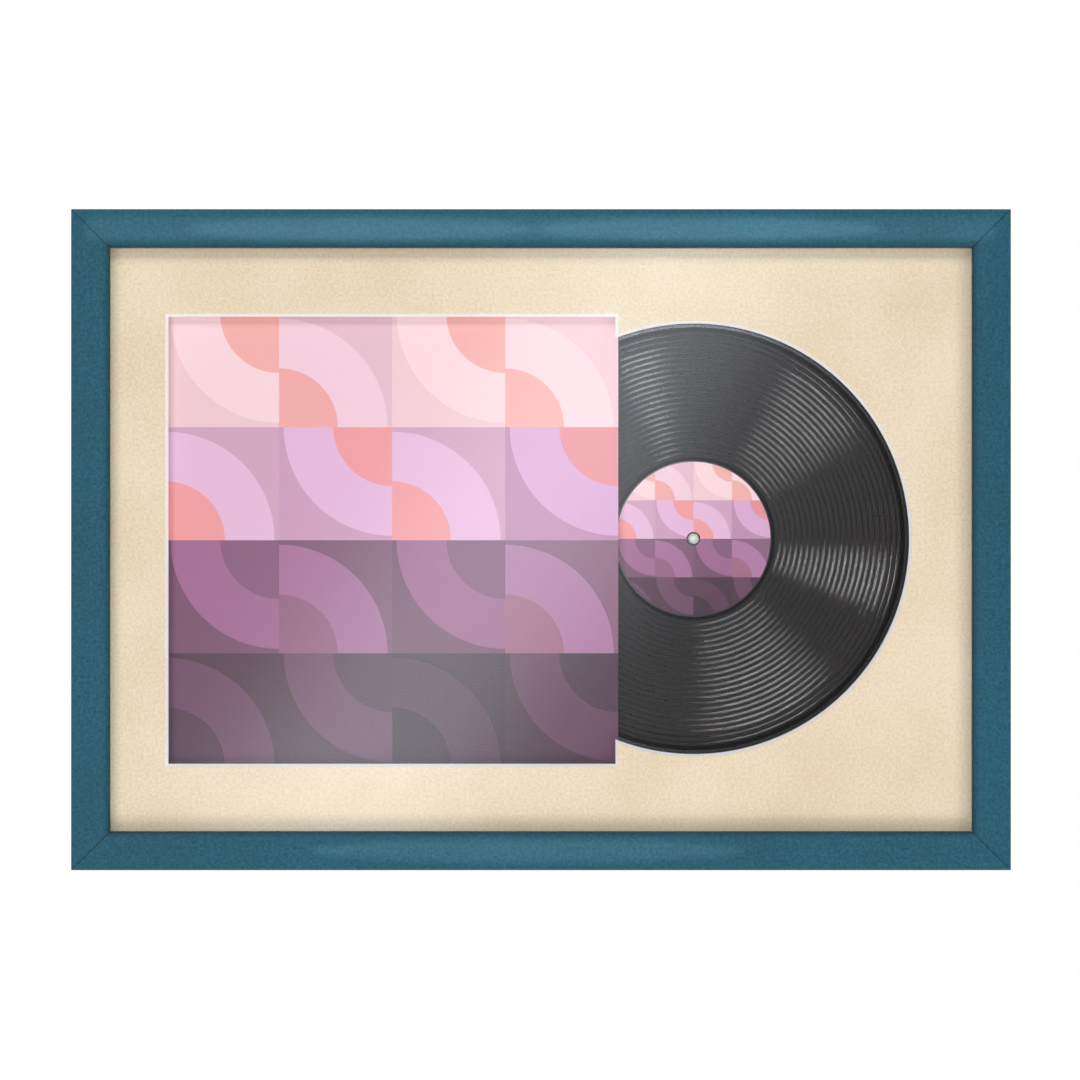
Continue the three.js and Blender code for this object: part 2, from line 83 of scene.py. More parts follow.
# %% [markdown]
# ## Small helpers
#
# Blender's operators work on what is selected, just as the mouse does. The helpers below do what
# a hand does between two operators: clear the selection, go into edit mode, pick the faces or
# edges at a certain place, and come back out.

# %% Helpers for selecting
same_place = 0.01 * MM


def select_only(*pieces):
    """Select these objects and make the last one active."""
    bpy.ops.object.select_all(action="DESELECT")
    for piece in pieces:
        piece.select_set(True)
        bpy.context.view_layer.objects.active = piece


def edit(piece, kind="FACE"):
    """Go into edit mode on one piece with nothing selected."""
    select_only(piece)
    bpy.ops.object.mode_set(mode="EDIT")
    bpy.ops.mesh.select_mode(type=kind)
    bpy.ops.mesh.select_all(action="DESELECT")


def leave_edit():
    """Come back out of edit mode."""
    bpy.ops.object.mode_set(mode="OBJECT")


def pick_faces(test):
    """In edit mode, select the faces whose middle and normal pass the test."""
    bpy.ops.mesh.select_all(action="DESELECT")
    mesh = bmesh.from_edit_mesh(bpy.context.object.data)
    for face in mesh.faces:
        if test(face.calc_center_median(), face.normal):
            face.select_set(True)
    bmesh.update_edit_mesh(bpy.context.object.data)


def pick_edges(test):
    """In edit mode, select the edges whose two ends both pass the test."""
    bpy.ops.mesh.select_all(action="DESELECT")
    mesh = bmesh.from_edit_mesh(bpy.context.object.data)
    for line in mesh.edges:
        if all(test(end.co) for end in line.verts):
            line.select_set(True)
    mesh.select_flush_mode()
    bmesh.update_edit_mesh(bpy.context.object.data)


def near(a, b):
    """Whether two places along an axis are the same."""
    return abs(a - b) < same_place


# %% Helpers for starting and finishing a piece
same_point = 0.001 * MM


def named(name):
    """Name the object that an operator has just added, and apply its place and size."""
    piece = bpy.context.object
    piece.name = name
    piece.data.name = name
    select_only(piece)
    bpy.ops.object.transform_apply(location=True, rotation=True, scale=True)
    return piece


def block(name, low, high):
    """A box between two corners."""
    low, high = Vector(low), Vector(high)
    bpy.ops.mesh.primitive_cube_add(size=1, location=(low + high) / 2, scale=high - low)
    return named(name)


def carve(piece, cutter, operation="DIFFERENCE"):
    """Cut one closed shape with another, as on a workbench, and throw the cutter away."""
    select_only(piece)
    knife = piece.modifiers.new("Cut", "BOOLEAN")
    knife.object = cutter
    knife.operation = operation
    knife.solver = "EXACT"
    bpy.ops.object.modifier_apply(modifier=knife.name)
    bpy.data.objects.remove(cutter)


def close_up(piece):
    """Merge points that lie on each other and turn the faces outwards."""
    edit(piece, "VERT")
    bpy.ops.mesh.select_all(action="SELECT")
    bpy.ops.mesh.remove_doubles(threshold=same_point)
    bpy.ops.mesh.normals_make_consistent(inside=False)
    leave_edit()


def smooth(piece, degrees=30):
    """Shade a piece smoothly, apart from edges sharper than this."""
    select_only(piece)
    bpy.ops.object.shade_smooth_by_angle(angle=math.radians(degrees), keep_sharp_edges=True)


def twin(piece, name, change=Matrix.Identity(4)):
    """A copy with its own mesh, moved or turned by a matrix."""
    select_only(piece)
    bpy.ops.object.duplicate()
    copy = bpy.context.object
    copy.name = name
    copy.data.name = name
    copy.matrix_world = change @ copy.matrix_world
    bpy.ops.object.transform_apply(location=True, rotation=True, scale=True)
    return copy


def fit(piece, finish, slot, *nodes, body="frame"):
    """Give a finished piece its finish, its body, and the solids that it stands for."""
    if not piece.data.materials:
        piece.data.materials.append(finish)
    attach(piece, body)
    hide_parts(*nodes)


def join(*pieces):
    """Make several pieces one object, without cutting them."""
    select_only(*pieces)
    bpy.ops.object.join()
    return bpy.context.object


# %% [markdown]
# ## Colours and nodes
#
# Colours are written as they look on a screen, in hex, and one function turns them into the
# linear numbers that a shader needs. Of the other functions, fill sets what a node reads, add
# makes any node, and the rest make one kind each, so that a finish reads as a list of what it is
# made of.

# %% Helpers for finishes
def tint(text):
    """A screen colour such as e9dac3 as linear red, green and blue, with full alpha."""
    parts = [int(text[i:i + 2], 16) / 255 for i in (0, 2, 4)]
    return [p / 12.92 if p <= 0.04045 else ((p + 0.055) / 1.055) ** 2.4 for p in parts] + [1]


def fill(node, settings):
    """Set a node's inputs and properties. A socket, or a node's first output, is linked in."""
    for name, value in settings.items():
        if isinstance(value, bpy.types.Node):
            value = value.outputs[0]
        if isinstance(value, bpy.types.NodeSocket):
            node.id_data.links.new(value, node.inputs[name])
        elif isinstance(name, int) or name in node.inputs:
            node.inputs[name].default_value = value
        else:
            setattr(node, name, value)


def add(tree, kind, settings=None):
    """Add a node of any kind, with its settings."""
    node = tree.nodes.new("ShaderNode" + kind)
    fill(node, settings or {})
    return node


def noise(tree, coords, size, detail, **more):
    """Cloudy noise whose clouds are about as wide as size."""
    return add(tree, "TexNoise", {"Vector": coords, "Scale": 1 / size, "Detail": detail, **more})


def remap(tree, value, start, end, low=0, high=1, **more):
    """Stretch values from start to end over those from low to high."""
    return add(tree, "MapRange", {"Value": value, "From Min": start, "From Max": end,
                                  "To Min": low, "To Max": high, **more})


def work_out(tree, operation, *values, kind="Math"):
    """One sum. Kind VectorMath does it with vectors."""
    return add(tree, kind, {"operation": operation, **dict(enumerate(values))})


def mix(tree, share, first, second, how="MIX"):
    """A second colour over a first, by a share."""
    return add(tree, "MixRGB", {"blend_type": how, "Fac": share, "Color1": first, "Color2": second})


def bump(tree, height, strength, relief, **more):
    """Relief on the surface, at most as deep as relief."""
    return add(tree, "Bump", {"Height": height, "Strength": strength, "Distance": relief, **more})


def finish(name):
    """An empty finish: its node tree, its shader and its Object coordinates."""
    made = bpy.data.materials.new(name)
    made.use_nodes = True
    tree = made.node_tree
    shader = next(node for node in tree.nodes if node.type == "BSDF_PRINCIPLED")
    coords = add(tree, "TexCoord").outputs["Object"]
    return made, tree, shader, coords


# %% [markdown]
# ## Painted wood
#
# The rails are wood with a satin teal paint, sprayed and lightly rubbed down. Seen close, the
# paint has a fine leathery grain, and the wood under it shows as long, very shallow streaks.
# The streaks follow each rail, so the finish is made twice, once for each direction. Satin
# paint mirrors less than gloss does, so its specular level is low. Towards the opening the
# colour is darkened as painted shade, for the lip's shadow and the inner edge turning from the
# light. At a mitre a fine dark line of painted shade stands for the shadow in the joint, and is
# drawn by the distance from that joint.

# %% Satin teal paint
streak_width = 2.4 * MM
grain_width = 2.2 * MM
paint_cloud = 110 * MM
mitre_line = 0.6 * MM
shade_starts = 1 * MM
shade_ends = 6 * MM
streak_relief = 0.2 * MM
grain_relief = 0.15 * MM


def teal_paint(name, stretch, axis, half_opening):
    """Paint whose streaks run where stretch is small. Axis is the one across the rail. Towards the
    opening it darkens with painted shade, and each mitre gets a fine line of painted shade. The
    leathery grain is drawn about 2 mm wide, coarser than it is, so that it shows."""
    made, tree, shader, coords = finish(name)
    along = add(tree, "Mapping", {"Vector": coords, "Scale": stretch})
    streaks = noise(tree, along, streak_width, 3, Roughness=0.6)
    grain = noise(tree, coords, grain_width, 4, Roughness=0.75)
    cloud = noise(tree, coords, paint_cloud, 2)
    bare = mix(tree, remap(tree, grain, 0.34, 0.66), tint("0c4453"), tint("255f71"))
    # Painted shade: the colour darkens towards the opening, for the lip's shadow and the rounded inner
    # edge turning from the light.
    from_middle = work_out(tree, "SUBTRACT", coords, middle, kind="VectorMath")
    across = add(tree, "SeparateXYZ", {"Vector": from_middle}).outputs
    away = work_out(tree, "ABSOLUTE", across[axis])
    clear = remap(tree, away, half_opening - shade_starts, half_opening + shade_ends, 0.5, 1,
                  interpolation_type="SMOOTHSTEP")
    shade = mix(tree, 1, bare, clear, "MULTIPLY")
    # Painted shade: a fine dark line along each mitre stands for the shadow in the joint.
    reach_x, reach_z = (work_out(tree, "ABSOLUTE", across[name]) for name in ("X", "Z"))
    beyond = work_out(tree, "SUBTRACT", reach_x, reach_z)
    off_mitre = work_out(tree, "SUBTRACT", beyond, (frame_width - frame_height) / 2)
    from_mitre = work_out(tree, "ABSOLUTE", off_mitre)
    joint = remap(tree, from_mitre, mitre_line / 4, mitre_line, 0.4, 1)
    shaded_at_lip_and_mitres = mix(tree, 1, shade, joint, "MULTIPLY")
    worn = mix(tree, 0.16, shaded_at_lip_and_mitres, streaks, "OVERLAY")
    broad = mix(tree, 0.15, worn, cloud, "OVERLAY")
    gloss = remap(tree, grain, 0, 1, 0.4, 0.6)
    relief = bump(tree, streaks, 0.12, streak_relief)
    skin = bump(tree, grain, 0.15, grain_relief, Normal=relief)
    fill(shader, {"Base Color": broad, "Roughness": gloss, "Specular IOR Level": 0.22, "Normal": skin})
    return made


half_width = frame_width / 2 - rail_width
half_height = frame_height / 2 - rail_width
paint_across = teal_paint("satin_teal_paint_across", (0.12, 1, 1), "Z", half_height)
paint_upright = teal_paint("satin_teal_paint_upright", (1, 1, 0.12), "X", half_width)
print("paint for two directions:", paint_across.name, "and", paint_upright.name)

# %% [markdown]
# ## The rails
#
# A frame rail is milled from a straight length: a flat face, a rounded inner edge, a lip that
# holds the glazing, and behind it a step, the rebate, that the sheets sit in. Each end is then
# sawn at 45 degrees. It is made here in the same order: a box for the back part, its inner face
# extruded in front only, which leaves the rebate, then two saw cuts with bisect, and bevels for
# the edges that are rounded. Bisect joins what lies within 0.1 mm of its plane, so the gap that
# the saw leaves at a mitre has to be wider. One long and one short rail are made, and the others
# are turned copies.

# %% Sizes of a rail
rebate = 6 * MM
land = rail_width - rebate
lip = 8 * MM
lip_rounding = 3.2 * MM
edge_softening = 1 * MM
saw_gap = 0.15 * MM
nail_shares = (0.34, 0.74)
nail_leg = 5 * MM
nail_sheet = 0.6 * MM
nail_height = 9 * MM
nail_room = 0.3 * MM
print(f"a rail is {rail_width / MM:.1f} mm wide and has a rebate of {rebate / MM:.0f} mm")


# %% Milling and sawing a rail
def saw(point, normal):
    """Cut the mesh in edit mode, drop the side the normal points to, and close the cut."""
    bpy.ops.mesh.select_all(action="SELECT")
    bpy.ops.mesh.bisect(plane_co=point, plane_no=normal, clear_outer=True, use_fill=True)


def mill_rail(name, length, height):
    """A rail along X, its outer side at the frame's edge: height above the frame's middle."""
    outer = middle.z + height
    rail = block(name, (-length / 2, -frame_depth, outer - land), (length / 2, 0, outer))
    edit(rail)
    bpy.ops.mesh.select_all(action="SELECT")
    bpy.ops.mesh.bisect(plane_co=(0, lip - frame_depth, 0), plane_no=(0, 1, 0))
    pick_faces(lambda at, normal: normal.z < -0.9 and at.y < lip - frame_depth)
    bpy.ops.mesh.extrude_region_move(TRANSFORM_OT_translate={"value": (0, 0, -rebate)})
    reach = length / 2 - saw_gap / math.sqrt(2)
    for side in (-1, 1):
        saw((side * reach, 0, outer), (side, 0, -1))
    inner = outer - rail_width
    bpy.ops.mesh.select_mode(type="EDGE")
    pick_edges(lambda at: near(at.y, -frame_depth) and near(at.z, inner))
    bpy.ops.mesh.bevel(offset=lip_rounding, segments=10, profile=0.5)
    pick_edges(lambda at: near(at.y, -frame_depth) and near(at.z, outer))
    bpy.ops.mesh.bevel(offset=edge_softening, segments=5, profile=0.5)
    pick_edges(lambda at: near(at.y, 0) and near(at.z, outer))
    bpy.ops.mesh.bevel(offset=edge_softening / 3, segments=3, profile=0.5)
    leave_edit()
    return rail


long_rail = mill_rail("painted_rail_top", frame_width, frame_height / 2)
short_rail = mill_rail("painted_rail_right_flat", frame_height, frame_width / 2)
print("a long rail has", len(long_rail.data.polygons), "faces")


# %% [markdown]
# ## Slots for the corner nails
#
# The mitres are held by steel corner nails, pressed in from the back across the joint. Their
# slots show as thin dark lines, so they are cut with thin boxes, one in each of the two rails
# that a nail joins.

# %% Cutting the slots
def nail_slots(rail, length, height):
    """Four slots near the two ends of a rail along X."""
    outer = middle.z + height
    grown = nail_sheet / 2 + nail_room
    depth = nail_height + 2 * nail_room
    for side in (-1, 1):
        for share in nail_shares:
            at = Vector((side * (length / 2 - share * land), 0, outer - share * land))
            ends = sorted((at.x + side * grown, at.x - side * (nail_leg + nail_room)))
            low = (ends[0], -depth, at.z - grown)
            high = (ends[1], depth, at.z + grown)
            carve(rail, block("slot", low, high))


nail_slots(long_rail, frame_width, frame_height / 2)
nail_slots(short_rail, frame_height, frame_width / 2)
print("with its slots a long rail has", len(long_rail.data.polygons), "faces")


# %% [markdown]
# ## The four rails in place
#
# A copy is turned about the frame's middle. The long rail is turned by half a turn for the
# bottom, and the short one by a quarter turn each way for the sides.

# %% Turning copies into place
def turned(quarters):
    """A turn about the line along Y through the frame's middle."""
    return (Matrix.Translation(middle) @ Matrix.Rotation(quarters * math.pi / 2, 4, "Y")
            @ Matrix.Translation(-middle))


rails = {
    "top_rail": (long_rail, paint_across),
    "bottom_rail": (twin(long_rail, "painted_rail_bottom", turned(2)), paint_across),
    "right_rail": (twin(short_rail, "painted_rail_right", turned(1)), paint_upright),
    "left_rail": (twin(short_rail, "painted_rail_left", turned(3)), paint_upright),
}
bpy.data.objects.remove(short_rail)
for node, (rail, paint) in rails.items():
    smooth(rail)
    fit(rail, paint, "rail_paint", node)
print("four rails, each standing for its solid")

# %% [markdown]
# ## Mat board
#
# A window mat is board of 2 mm: a cream paper face on a white core. Where the window is cut at
# 45 degrees the core shows as a white line. The face has a faint fibre, a little paler and
# darker from place to place. Both are matte.

# %% Cream face and white core
mat_speck = 2 * MM
mat_cloud = 70 * MM
nap_relief = 0.1 * MM
foam_speck = 0.8 * MM


def mat_paper(name, pale, deep, speck_size=mat_speck):
    """Paper on board. The specks are drawn coarser than paper fibre, so that they show."""
    made, tree, shader, coords = finish(name)
    fibre = noise(tree, coords, speck_size, 4, Roughness=0.75)
    cloud = noise(tree, coords, mat_cloud, 3)
    both = work_out(tree, "MULTIPLY_ADD", cloud, 0.4, fibre)
    colour = mix(tree, remap(tree, both, 0.56, 0.84), tint(deep), tint(pale))
    nap = bump(tree, fibre, 0.25, nap_relief)
    fill(shader, {"Base Color": colour, "Roughness": 0.9, "Specular IOR Level": 0.25, "Normal": nap})
    return made


mat_face = mat_paper("cream_mat_face", "f5e5ca", "e6d0af")
mat_core = mat_paper("white_mat_core", "fffdfb", "fbf5f2")
print("paper for the mat:", mat_face.name, "and", mat_core.name)

# %% [markdown]
# ## The window mat
#
# The mat's opening is a square joined with a circle, cut with one knife at 45 degrees. A sheet is
# made as a box, and two cutters with sloping sides, a four-sided and a round cone, are taken
# away from it. The sloping faces that this leaves get the core's finish.

# %% Sizes of the opening
mat_low, mat_high = (Vector(corner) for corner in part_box("window_mat"))
sleeve_low, sleeve_high = (Vector(corner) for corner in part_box("record_sleeve"))
disc_low, disc_high = (Vector(corner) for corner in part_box("vinyl_record"))
sleeve_middle = (sleeve_low + sleeve_high) / 2
disc_middle = (disc_low + disc_high) / 2
record_radius = 301.6 * MM / 2
sleeve_cover = 2 * MM
record_cover = 1.3 * MM
window_half = (sleeve_high.x - sleeve_low.x) / 2 - sleeve_cover
window_radius = record_radius - record_cover
overrun = 4 * MM
mat_thickness = mat_high.y - mat_low.y
print(f"the square window is {2 * window_half / MM:.1f} mm, the round one {2 * window_radius / MM:.1f} mm")


# %% Cutting the opening
def knife_cone(name, half, sides, at):
    """A cutter along Y, one millimetre wider for each millimetre towards the front."""
    corner = 1 / math.cos(math.pi / sides)
    depth = mat_thickness + 2 * overrun
    bpy.ops.mesh.primitive_cone_add(
        vertices=sides,
        radius1=(half - overrun) * corner,
        radius2=(half + mat_thickness + overrun) * corner,
        depth=depth,
        rotation=(math.pi / 2, 0, 0),
        location=(0, 0, 0),
    )
    cone = named(name)
    if sides == 4:
        edit(cone)
        bpy.ops.mesh.select_all(action="SELECT")
        bpy.ops.transform.rotate(value=math.pi / 4, orient_axis="Y", center_override=(0, 0, 0))
        leave_edit()
    cone.location = (at.x, (mat_low.y + mat_high.y) / 2, at.z)
    select_only(cone)
    bpy.ops.object.transform_apply(location=True)
    return cone


mat = block("window_mat_board", mat_low, mat_high)
carve(mat, knife_cone("square_knife", window_half, 4, sleeve_middle))
carve(mat, knife_cone("round_knife", window_radius, 256, disc_middle))
mat.data.materials.append(mat_face)
mat.data.materials.append(mat_core)
edit(mat)
pick_faces(lambda at, normal: 0.3 < abs(normal.y) < 0.9)
mat.active_material_index = 1
bpy.ops.object.material_slot_assign()
leave_edit()
fit(mat, mat_face, "mat_board", "window_mat")
print("the mat has", len(mat.data.polygons), "faces")

# %% [markdown]
# ## Pressed vinyl
#
# A record is black vinyl, pressed between two plates, smooth and glossy where it has no grooves.
# The grooves themselves are a tenth of a millimetre apart, too fine to draw one by one, but
# together they bend light across their own direction and look softer than smooth vinyl. The
# grooved finish does the same with the shader's anisotropic gloss, turned round the spindle
# hole. The floors of the sunk rings get painted shade: a darker copy of the vinyl that hardly
# shines, for the little light that gets out of them.

# %% Smooth vinyl, grooved vinyl and the floor of a ring
dust_size = 1.1 * MM


def black_vinyl(name, deep, pale, roughness, shine):
    """Black plastic with the faintest dust, drawn coarser than it is so that it shows. Shine is
    the shader's specular level."""
    made, tree, shader, coords = finish(name)
    shade = mix(tree, noise(tree, coords, dust_size, 2), tint(deep), tint(pale))
    fill(shader, {"Base Color": shade, "Roughness": roughness, "Specular IOR Level": shine})
    return made, tree, shader, coords


smooth_vinyl = black_vinyl("smooth_black_vinyl", "0f0a0b", "171213", 0.13, 0.2)[0]
# Painted shade: a darker copy of the vinyl that does not shine stands for the dark in the floors of the
# rings.
ring_floor_shade_vinyl = black_vinyl("black_vinyl_painted_shade_in_a_ring", "020202", "060505", 0.5, 0)[0]
grooved_vinyl, tree, shader, coords = black_vinyl("grooved_black_vinyl", "120d0e", "1c1617", 0.5, 0.18)
centred = add(tree, "Mapping", {"Vector": coords, "Location": -disc_middle})
parts = add(tree, "SeparateXYZ", {"Vector": centred}).outputs
turn_x = work_out(tree, "MULTIPLY", parts["X"], -1)
tangent = add(tree, "CombineXYZ", {"X": parts["Z"], "Z": turn_x})
round_it = work_out(tree, "NORMALIZE", tangent, kind="VectorMath")
fill(shader, {"Tangent": round_it, "Anisotropic": 0.8})
print("vinyl:", smooth_vinyl.name, ring_floor_shade_vinyl.name, grooved_vinyl.name)

# %% [markdown]
# ## The record
#
# The real one is pressed, but its section is what a lathe would turn: a thick edge, a sunk
# lead-in, a band with wider rings between the tracks, a moat round the label, and a flat seat
# under it. The half section is drawn by extruding one point, and spun round the spindle hole.
# The rings are shallow grooves with sloping walls, drawn wider and deeper than they are, so
# that they show.

# %% Section of the record
spindle_radius = 7.24 * MM / 2
label_width = 107.2 * MM
label_room = 0.3 * MM
seat_depth = 0.25 * MM
band_depth = 0.2 * MM
ring_depth = 0.3 * MM
label_rim = 0.8 * MM
moat_width = 2 * MM
rim_width = 3.5 * MM
rim_groove = 3.1 * MM
inner_margin = 3.2 * MM
outer_margin = 2.4 * MM
ring_count = 22
ring_floor = 0.2 * MM
ring_slope = math.radians(25)
step_out = 0.1 * MM
edge_round = 0.6 * MM
edge_steps = 4
print(f"the record is {2 * record_radius / MM:.1f} mm across, its label {label_width / MM:.1f} mm")

# %% Radii and heights over the record's middle
half_thickness = (disc_high.y - disc_low.y) / 2
seat = half_thickness - seat_depth
band = half_thickness - band_depth
valley = band - ring_depth
seat_radius = label_width / 2 + label_room
moat_inner = seat_radius + label_rim
moat_outer = moat_inner + moat_width
rim_inner = record_radius - rim_width
lead_in = rim_inner - rim_groove
first_ring = moat_outer + inner_margin
last_ring = lead_in - outer_margin
ring_wall = ring_depth / math.tan(ring_slope)
print(f"{ring_count} rings from {first_ring / MM:.1f} to {last_ring / MM:.1f} mm off the spindle")


def record_face():
    """Radius and height over the middle of the record, from the hole to the edge. The point just
    before the rounded edge keeps the shading of the flat rim flat."""
    points = [(spindle_radius, seat), (seat_radius, seat), (seat_radius, half_thickness - step_out),
              (seat_radius + step_out, half_thickness), (moat_inner - 2 * step_out, half_thickness),
              (moat_inner, valley), (moat_outer, valley), (moat_outer + step_out, band)]
    for ring in range(ring_count):
        at = first_ring + (last_ring - first_ring) * ring / (ring_count - 1)
        floor_half = ring_floor / 2
        top_half = floor_half + ring_wall
        points += [(at - top_half, band), (at - floor_half, valley), (at + floor_half, valley),
                   (at + top_half, band)]
    points += [(lead_in, band), (lead_in + step_out, valley), (rim_inner - step_out, valley),
               (rim_inner, half_thickness), (record_radius - edge_round - step_out, half_thickness)]
    for step in range(edge_steps + 1):
        turn = step / edge_steps * math.pi / 2
        points.append((record_radius - edge_round * (1 - math.sin(turn)),
                       half_thickness - edge_round * (1 - math.cos(turn))))
    return points


# %% Turning the record
def turned_piece(name, section, at, steps=192):
    """Draw a closed section by extruding one point, and spin it round a line along Y."""
    start = Vector((at.x + section[0][0], at.y + section[0][1], at.z))
    bpy.ops.mesh.primitive_plane_add(size=MM, location=start)
    piece = named(name)
    edit(piece, "VERT")
    bpy.ops.mesh.select_all(action="SELECT")
    bpy.ops.mesh.merge(type="CENTER")
    for (r0, y0), (r1, y1) in zip(section, section[1:] + section[:1]):
        bpy.ops.mesh.extrude_region_move(TRANSFORM_OT_translate={"value": (r1 - r0, y1 - y0, 0)})
    bpy.ops.mesh.select_all(action="SELECT")
    bpy.ops.mesh.spin(steps=steps, angle=2 * math.pi, center=at, axis=(0, 1, 0))
    leave_edit()
    close_up(piece)
    return piece


front_half = [(radius, -height) for radius, height in record_face()]
back_half = [(radius, height) for radius, height in reversed(record_face())]
disc = turned_piece("vinyl_record_disc", front_half + back_half, disc_middle, 256)
for made in (smooth_vinyl, grooved_vinyl, ring_floor_shade_vinyl):
    disc.data.materials.append(made)
edit(disc)
# The flat floors of the rings, the moat and the lead-in get the painted shade vinyl, and the band between
# the rings gets the grooved one.
for index, depth in ((1, band), (2, valley)):
    pick_faces(lambda at, normal: near(abs(at.y - disc_middle.y), depth) and abs(normal.y) > 0.99)
    disc.active_material_index = index
    bpy.ops.object.material_slot_assign()
leave_edit()
smooth(disc, 15)
fit(disc, smooth_vinyl, "record_vinyl", "vinyl_record")
print("the record has", len(disc.data.polygons), "faces")

# %% [markdown]
# ## Print on card and paper
#
# The sleeve and the label carry a plain printed design: square tiles with quarter rounds in
# them, as on a tiled wall, pale pink at the top, coral and mauve below, and dark plum at the
# foot. It is worked out from Object coordinates: which tile a point is in picks the colours and
# which corner the rounds sit in, and the distance to that corner picks the ring.

# %% Design of tiled quarter rounds
print_dot = 0.9 * MM
fine_relief = 0.05 * MM


def printed_design(name, corner, tile, rows, roughness):
    """Tiles from a lower left corner upwards. The colours go from plum to pale pink in rows. The
    dots of the print are drawn coarser than they are, so that they show."""
    made, tree, shader, coords = finish(name)
    scaled = add(tree, "Mapping", {"vector_type": "TEXTURE", "Vector": coords, "Location": corner,
                                   "Scale": (tile, tile, tile)})
    cell = work_out(tree, "FLOOR", scaled, kind="VectorMath")
    local = work_out(tree, "FRACTION", scaled, kind="VectorMath")
    cell_parts, local_parts = (add(tree, "SeparateXYZ", {"Vector": made_of}).outputs
                               for made_of in (cell, local))
    odd_sum = work_out(tree, "ADD", cell_parts["X"], cell_parts["Z"])
    odd = work_out(tree, "PINGPONG", odd_sum, 1)
    flips = []
    for axis in ("X", "Z"):
        other = work_out(tree, "SUBTRACT", 1, local_parts[axis])
        flips.append(add(tree, "Mix", {"data_type": "FLOAT", 0: odd, 2: local_parts[axis], 3: other}))
    flat = add(tree, "CombineXYZ", {"X": flips[0], "Z": flips[1]})
    away = work_out(tree, "LENGTH", flat, kind="VectorMath").outputs["Value"]
    pick = add(tree, "TexWhiteNoise", {"noise_dimensions": "3D", "Vector": cell})
    height = work_out(tree, "MULTIPLY", cell_parts["Z"], 1 / rows)
    varied = work_out(tree, "MULTIPLY_ADD", pick, 0.16, height)
    inks = []
    for colours in (("38252f", "79516c", "c996b9", "f6cfd6"),
                    ("4a3043", "a46c93", "e4b3dc", "ffdcdf"),
                    ("2b1c27", "8a5c7d", "f29a9f", "f7b4ae")):
        ramp = add(tree, "ValToRGB", {"Fac": varied})
        stops = ramp.color_ramp.elements
        stops[0].position, stops[0].color = 0, tint(colours[0])
        stops[1].position, stops[1].color = 0.85, tint(colours[3])
        stops.new(0.36).color = tint(colours[1])
        stops.new(0.6).color = tint(colours[2])
        inks.append(ramp)
    outer = work_out(tree, "LESS_THAN", away, 0.96)
    inner = work_out(tree, "LESS_THAN", away, 0.52)
    tiles = mix(tree, inner, mix(tree, outer, inks[0], inks[1]), inks[2])
    dots = noise(tree, coords, print_dot, 2)
    colour = mix(tree, 0.12, tiles, dots, "OVERLAY")
    skin = bump(tree, dots, 0.08, fine_relief)
    fill(shader, {"Base Color": colour, "Roughness": roughness, "Specular IOR Level": 0.3,
                  "Normal": skin})
    return made


sleeve_side = sleeve_high.x - sleeve_low.x
tile_rows = 4
sleeve_print = printed_design("printed_sleeve_card", sleeve_low, sleeve_side / tile_rows, tile_rows, 0.55)
print(f"a tile on the sleeve is {sleeve_side / tile_rows / MM:.1f} mm wide")

# %% [markdown]
# ## The sleeve
#
# A sleeve is two thin cards joined on three sides, with its mouth towards the record. It is
# made from one box: the mouth side is inset by the card's thickness and pushed in almost to the
# far side, which leaves the two walls, and the edges of that far side are creased round by a small bevel.

# %% Folding the sleeve
card = 0.4 * MM
crease = 0.3 * MM
sleeve = block("record_sleeve_card", sleeve_low, sleeve_high)
edit(sleeve)
pick_faces(lambda at, normal: normal.x > 0.9)
bpy.ops.mesh.inset(thickness=card)
bpy.ops.mesh.extrude_region_move(TRANSFORM_OT_translate={"value": (card - sleeve_side, 0, 0)})
bpy.ops.mesh.select_mode(type="EDGE")
pick_edges(lambda at: near(at.x, sleeve_low.x))
bpy.ops.mesh.bevel(offset=crease, segments=3, profile=0.5)
leave_edit()
smooth(sleeve)
fit(sleeve, sleeve_print, "sleeve_print", "record_sleeve")
print("the sleeve has", len(sleeve.data.polygons), "faces")

# %% [markdown]
# ## The labels
#
# The label is a ring of paper pressed into the vinyl while it is hot, so it sits almost flush.
# It is spun from a small rectangle, and printed with the same tiles at a smaller size.

# %% Labels on both sides
label_low, label_high = (Vector(corner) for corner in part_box("front_label"))
label_radius = (label_high.x - label_low.x) / 2
label_hole = 9.7 * MM / 2
label_half = (label_high.y - label_low.y) / 2
label_tile = 2 * label_radius / tile_rows
label_print = printed_design("printed_label_paper", label_low, label_tile, tile_rows, 0.7)
label_section = [(label_hole, -label_half), (label_radius, -label_half),
                 (label_radius, label_half), (label_hole, label_half)]
front_middle = Vector((disc_middle.x, (label_low.y + label_high.y) / 2, disc_middle.z))
label = turned_piece("paper_label_front", label_section, front_middle, 128)
back_low, back_high = (Vector(corner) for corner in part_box("back_label"))
shift = (back_low.y + back_high.y) / 2 - front_middle.y
other_label = twin(label, "paper_label_back", Matrix.Translation((0, shift, 0)))
for piece, node in ((label, "front_label"), (other_label, "back_label")):
    smooth(piece)
    fit(piece, label_print, "label_paper", node)
print("a label has", len(label.data.polygons), "faces")

# %% [markdown]
# ## Sheets that keep their solids
#
# The clear sheet, the spacers, the mount board and the backing board are flat cut sheets, and
# their solids are already right. They keep them and get finishes. The acrylic sheet has an
# anti-glare coat, so it mirrors little when seen straight on and more at a slant. It is mixed
# from a see-through and a mirror shader by the angle, so that light gets through it unhindered.

# %% Clear acrylic
def dress(finish_made, *nodes):
    """Give solids that stay in view a finish of their own."""
    for node in nodes:
        solid = frame["nodes"][node]
        solid.data.materials.clear()
        solid.data.materials.append(finish_made)


